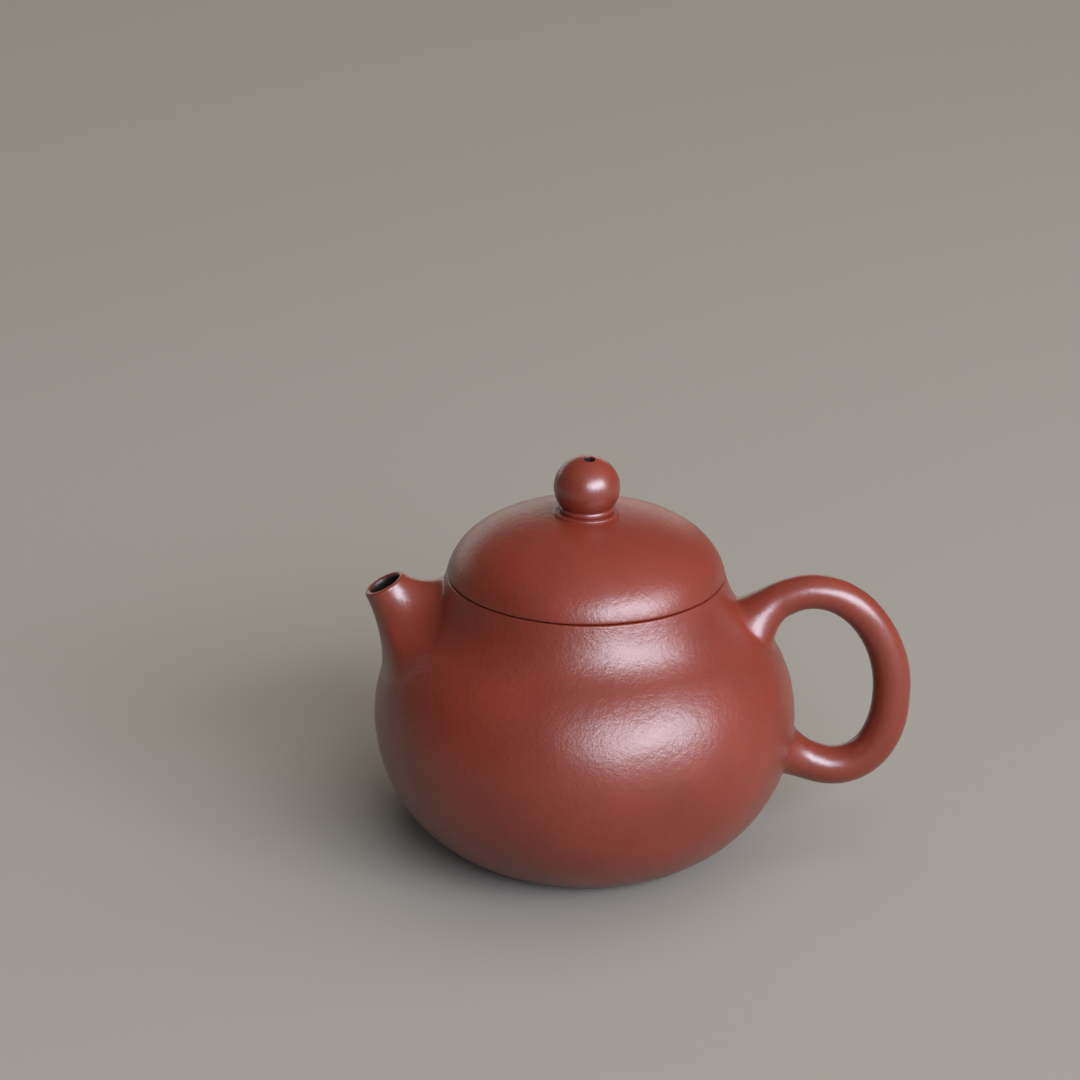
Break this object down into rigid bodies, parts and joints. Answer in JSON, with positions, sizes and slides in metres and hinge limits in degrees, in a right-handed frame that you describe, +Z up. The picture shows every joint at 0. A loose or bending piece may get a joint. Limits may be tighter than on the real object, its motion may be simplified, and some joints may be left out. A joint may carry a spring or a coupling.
{
  "type": "clay teapot",
  "caption": "Small round unglazed red clay teapot with a short spout, a loop handle and a domed lid with a ball knob that lifts off.",
  "frame": {"origin": "centre of the flat base, on the pot's axis, on the surface it stands on", "axes": "+Z up along the pot's axis, -X towards the spout, +X towards the handle"},
  "size_m": [0.1083, 0.084, 0.0807],
  "materials": {
    "body_wall": "unglazed satin, fine grain",
    "base_disc": "unglazed satin, fine grain",
    "mouth_ring": "unglazed satin, fine grain",
    "spout": "unglazed satin, fine grain",
    "strainer": "unglazed satin, fine grain",
    "handle": "unglazed satin, fine grain",
    "lid_dome": "unglazed satin, fine grain",
    "lid_flange": "unglazed satin, fine grain",
    "knob_collar": "unglazed satin, fine grain",
    "knob": "unglazed satin, fine grain"
  },
  "bodies": {
    "pot": {"body_wall": "body_wall", "base_disc": "base_disc", "mouth_ring": "mouth_ring", "spout": "spout", "strainer": "strainer", "handle": "handle"},
    "lid": {"lid_dome": "lid_dome", "lid_flange": "lid_flange", "knob_collar": "knob_collar", "knob": "knob"}
  },
  "joints": [
    {"name": "lid_lift", "type": "slide", "parent": "pot", "child": "lid", "axis": [0, 0, 1], "range_m": [0, 0.06]}
  ]
}
